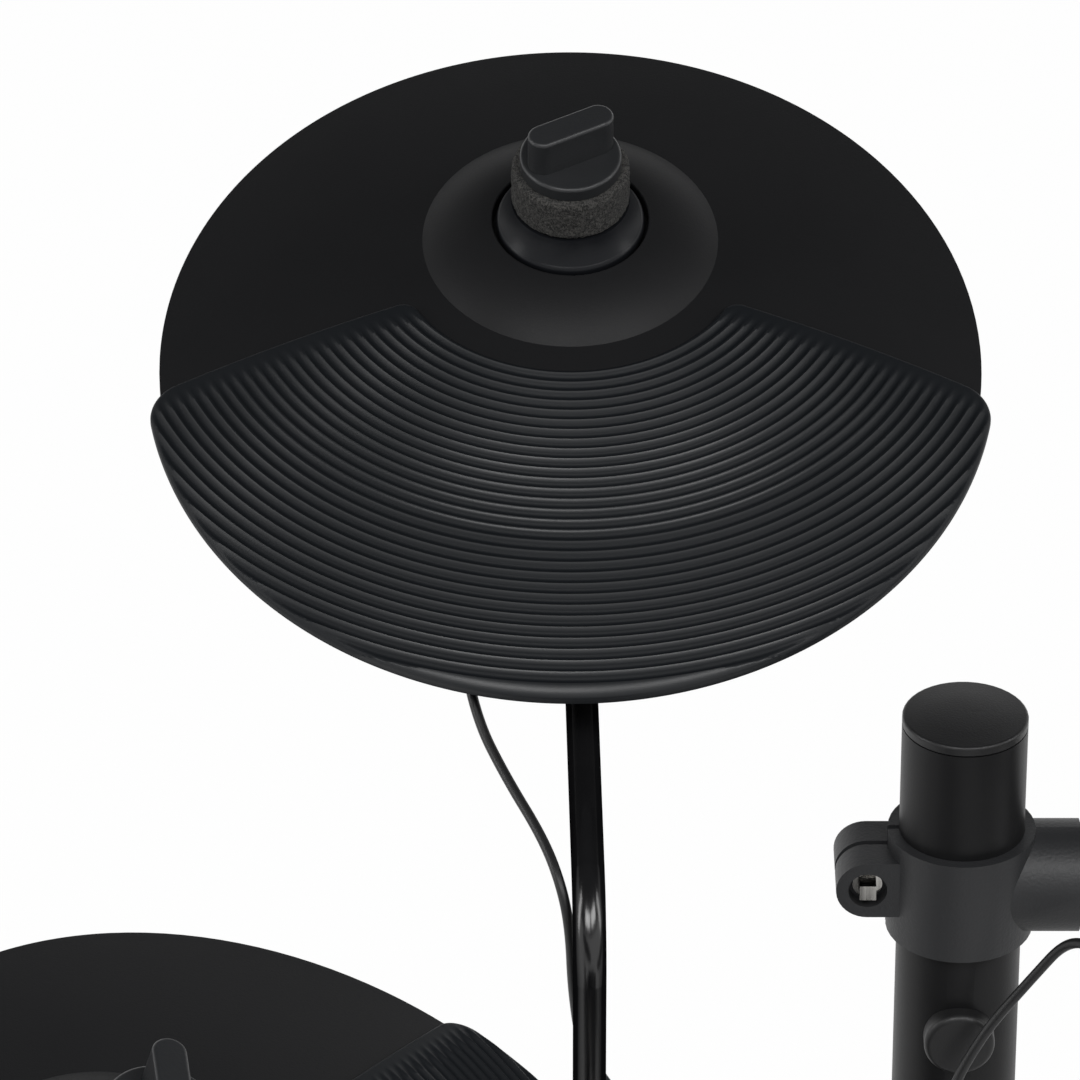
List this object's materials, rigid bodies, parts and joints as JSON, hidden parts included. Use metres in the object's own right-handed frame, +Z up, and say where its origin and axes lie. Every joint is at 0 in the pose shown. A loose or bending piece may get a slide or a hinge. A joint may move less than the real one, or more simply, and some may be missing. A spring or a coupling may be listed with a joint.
{
  "type": "electronic drum kit",
  "caption": "Electronic drum kit: tube rack on posts with clamps, ribbed rubber cymbal pads on bent arms, round drum pads on rods, sound module, pad leads and foot pedals",
  "frame": {"origin": "centre of the rear left post's foot, on the floor", "axes": "+X to the player's right along the crossbar, +Y away from the player, +Z up"},
  "size_m": [1.1545, 0.7901, 0.9144],
  "materials": {
    "tube_black": "satin black powder coat",
    "clamp_plastic": "fine moulded texture, dark grey",
    "cap_plastic": "satin black moulding",
    "foot_rubber": "matt black rubber",
    "bright_steel": "bright plated steel",
    "arm_black": "high gloss black",
    "disc_plastic": "satin black plastic",
    "ribbed_rubber": "matt black ribbed rubber",
    "sleeve_plastic": "semi gloss black plastic",
    "felt": "charcoal wool felt",
    "nut_plastic": "satin black moulding",
    "pickup_plastic": "black moulding",
    "pad_plastic": "satin black moulding",
    "head_rubber": "matt dark grey rubber",
    "sensor_steel": "plain steel plate",
    "rod_steel": "bright plated steel",
    "module_plastic": "fine textured black plastic",
    "board": "green circuit board",
    "key_rubber": "grey silicone",
    "dial_plastic": "black plastic",
    "pedal_metal": "black coated steel",
    "lead_sheath": "black flexible sheath",
    "plug_plastic": "black moulded plug"
  },
  "bodies": {
    "rack": {"rear_posts": "tube_black", "front_posts": "tube_black", "crossbar": "tube_black", "wing_bars": "tube_black", "tube_clamps": "clamp_plastic", "clamp_bolts": "bright_steel", "post_caps": "cap_plastic", "post_feet": "foot_rubber", "rod_clamps": "clamp_plastic", "rod_clamp_screws": "bright_steel", "cable_button": "cap_plastic", "pad_rods": "rod_steel", "pedal_bases": "pedal_metal", "crash_lead": "lead_sheath", "tom_lead": "lead_sheath"},
    "crash_stand": {"crash_arm": "arm_black", "crash_sleeve": "sleeve_plastic", "crash_felt": "felt"},
    "crash_cymbal": {"crash_disc": "disc_plastic", "crash_rubber": "ribbed_rubber", "crash_pickup": "pickup_plastic", "crash_plug": "plug_plastic"},
    "crash_nut": {"crash_wing_nut": "nut_plastic"},
    "ride_stand": {"ride_arm": "arm_black", "ride_sleeve": "sleeve_plastic", "ride_felt": "felt"},
    "ride_cymbal": {"ride_disc": "disc_plastic", "ride_rubber": "ribbed_rubber", "ride_pickup": "pickup_plastic"},
    "ride_nut": {"ride_wing_nut": "nut_plastic"},
    "hihat_stand": {"hihat_arm": "arm_black", "hihat_sleeve": "sleeve_plastic", "hihat_felt": "felt"},
    "hihat_cymbal": {"hihat_disc": "disc_plastic", "hihat_rubber": "ribbed_rubber", "hihat_pickup": "pickup_plastic"},
    "hihat_nut": {"hihat_wing_nut": "nut_plastic"},
    "tom_1_pad": {"tom_1_shell": "pad_plastic", "tom_1_head": "head_rubber", "tom_1_sensor": "sensor_steel", "tom_plug": "plug_plastic"},
    "tom_2_pad": {"tom_2_shell": "pad_plastic", "tom_2_head": "head_rubber", "tom_2_sensor": "sensor_steel"},
    "snare_pad": {"snare_shell": "pad_plastic", "snare_head": "head_rubber", "snare_sensor": "sensor_steel"},
    "tom_3_pad": {"tom_3_shell": "pad_plastic", "tom_3_head": "head_rubber", "tom_3_sensor": "sensor_steel"},
    "module": {"module_front": "module_plastic", "module_back": "module_plastic", "module_board": "board", "module_plugs": "plug_plastic"},
    "dial": {"module_dial": "dial_plastic"},
    "key_left": {"module_key_left": "key_rubber"},
    "key_middle": {"module_key_middle": "key_rubber"},
    "key_right": {"module_key_right": "key_rubber"},
    "hihat_pedal": {"hihat_treadle": "pedal_metal"},
    "kick_pedal": {"kick_treadle": "pedal_metal"}
  },
  "joints": [
    {"name": "crash_swivel", "type": "hinge", "parent": "rack", "child": "crash_stand", "pos_m": [-0.11301, -0.06018, 0.61], "axis": [0, 0, 1], "range_deg": [-12, 12], "deforming": ["crash_lead"]},
    {"name": "crash_rock", "type": "hinge", "parent": "crash_stand", "child": "crash_cymbal", "pos_m": [-0.1184, 0.14587, 0.86208], "axis": [1, 0, 0], "range_deg": [-5, 5], "stiffness_Nm_per_rad": 8, "springref_deg": -0.72, "deforming": ["crash_lead"]},
    {"name": "crash_nut_turn", "type": "hinge", "parent": "crash_stand", "child": "crash_nut", "pos_m": [-0.1184, 0.1447, 0.8659], "axis": [0, -0.2924, 0.9563], "continuous": true},
    {"name": "ride_swivel", "type": "hinge", "parent": "rack", "child": "ride_stand", "pos_m": [0.63301, -0.06018, 0.61], "axis": [0, 0, 1], "range_deg": [-12, 12]},
    {"name": "ride_rock", "type": "hinge", "parent": "ride_stand", "child": "ride_cymbal", "pos_m": [0.7152, 0.12884, 0.86208], "axis": [0.9063, -0.4226, 0], "range_deg": [-5, 5], "stiffness_Nm_per_rad": 8, "springref_deg": -0.72},
    {"name": "ride_nut_turn", "type": "hinge", "parent": "ride_stand", "child": "ride_nut", "pos_m": [0.71471, 0.12778, 0.8659], "axis": [-0.1236, -0.265, 0.9563], "continuous": true},
    {"name": "hihat_swivel", "type": "hinge", "parent": "rack", "child": "hihat_stand", "pos_m": [-0.22016, -0.2087, 0.61], "axis": [0, 0, 1], "range_deg": [-8, 8]},
    {"name": "hihat_rock", "type": "hinge", "parent": "hihat_stand", "child": "hihat_cymbal", "pos_m": [-0.23785, -0.2783, 0.80122], "axis": [0.3183, 0.9415, 0.1105], "range_deg": [-5, 5], "stiffness_Nm_per_rad": 8, "springref_deg": -0.72},
    {"name": "hihat_nut_turn", "type": "hinge", "parent": "hihat_stand", "child": "hihat_nut", "pos_m": [-0.2368, -0.2791, 0.805], "axis": [0.2616, -0.1993, 0.9444], "continuous": true},
    {"name": "tom_1_roll", "type": "hinge", "parent": "rack", "child": "tom_1_pad", "pos_m": [0.15, -0.16922, 0.68753], "axis": [0, -0.9781, -0.2079], "range_deg": [-15, 15], "deforming": ["tom_lead"]},
    {"name": "tom_2_roll", "type": "hinge", "parent": "rack", "child": "tom_2_pad", "pos_m": [0.37, -0.16922, 0.68753], "axis": [0, -0.9781, -0.2079], "range_deg": [-15, 15]},
    {"name": "snare_roll", "type": "hinge", "parent": "rack", "child": "snare_pad", "pos_m": [-0.01661, -0.45656, 0.61], "axis": [0.788, -0.6157, 0], "range_deg": [-15, 15]},
    {"name": "tom_3_roll", "type": "hinge", "parent": "rack", "child": "tom_3_pad", "pos_m": [0.53661, -0.45656, 0.61], "axis": [-0.788, -0.6157, 0], "range_deg": [-15, 15]},
    {"name": "module_swivel", "type": "hinge", "parent": "rack", "child": "module", "pos_m": [-0.12806, -0.16391, 0.61], "axis": [0, 0, 1], "range_deg": [-10, 10], "deforming": ["crash_lead", "tom_lead"]},
    {"name": "dial_turn", "type": "hinge", "parent": "module", "child": "dial", "pos_m": [-0.05293, -0.1693, 0.67075], "axis": [0.7142, -0.558, 0.4226], "continuous": true},
    {"name": "key_left_press", "type": "slide", "parent": "module", "child": "key_left", "axis": [-0.7142, 0.558, -0.4226], "range_m": [0, 0.0012], "stiffness_N_per_m": 400, "springref_m": -0.001},
    {"name": "key_middle_press", "type": "slide", "parent": "module", "child": "key_middle", "axis": [-0.7142, 0.558, -0.4226], "range_m": [0, 0.0012], "stiffness_N_per_m": 400, "springref_m": -0.001},
    {"name": "key_right_press", "type": "slide", "parent": "module", "child": "key_right", "axis": [-0.7142, 0.558, -0.4226], "range_m": [0, 0.0012], "stiffness_N_per_m": 400, "springref_m": -0.001},
    {"name": "hihat_press", "type": "hinge", "parent": "rack", "child": "hihat_pedal", "pos_m": [0.05288, -0.4918, 0.019], "axis": [-0.9903, 0.1392, 0], "range_deg": [0, 6], "stiffness_Nm_per_rad": 12, "springref_deg": -5.73},
    {"name": "kick_press", "type": "hinge", "parent": "rack", "child": "kick_pedal", "pos_m": [0.29858, -0.4627, 0.019], "axis": [-0.9976, -0.0698, 0], "range_deg": [0, 6], "stiffness_Nm_per_rad": 12, "springref_deg": -5.73}
  ]
}
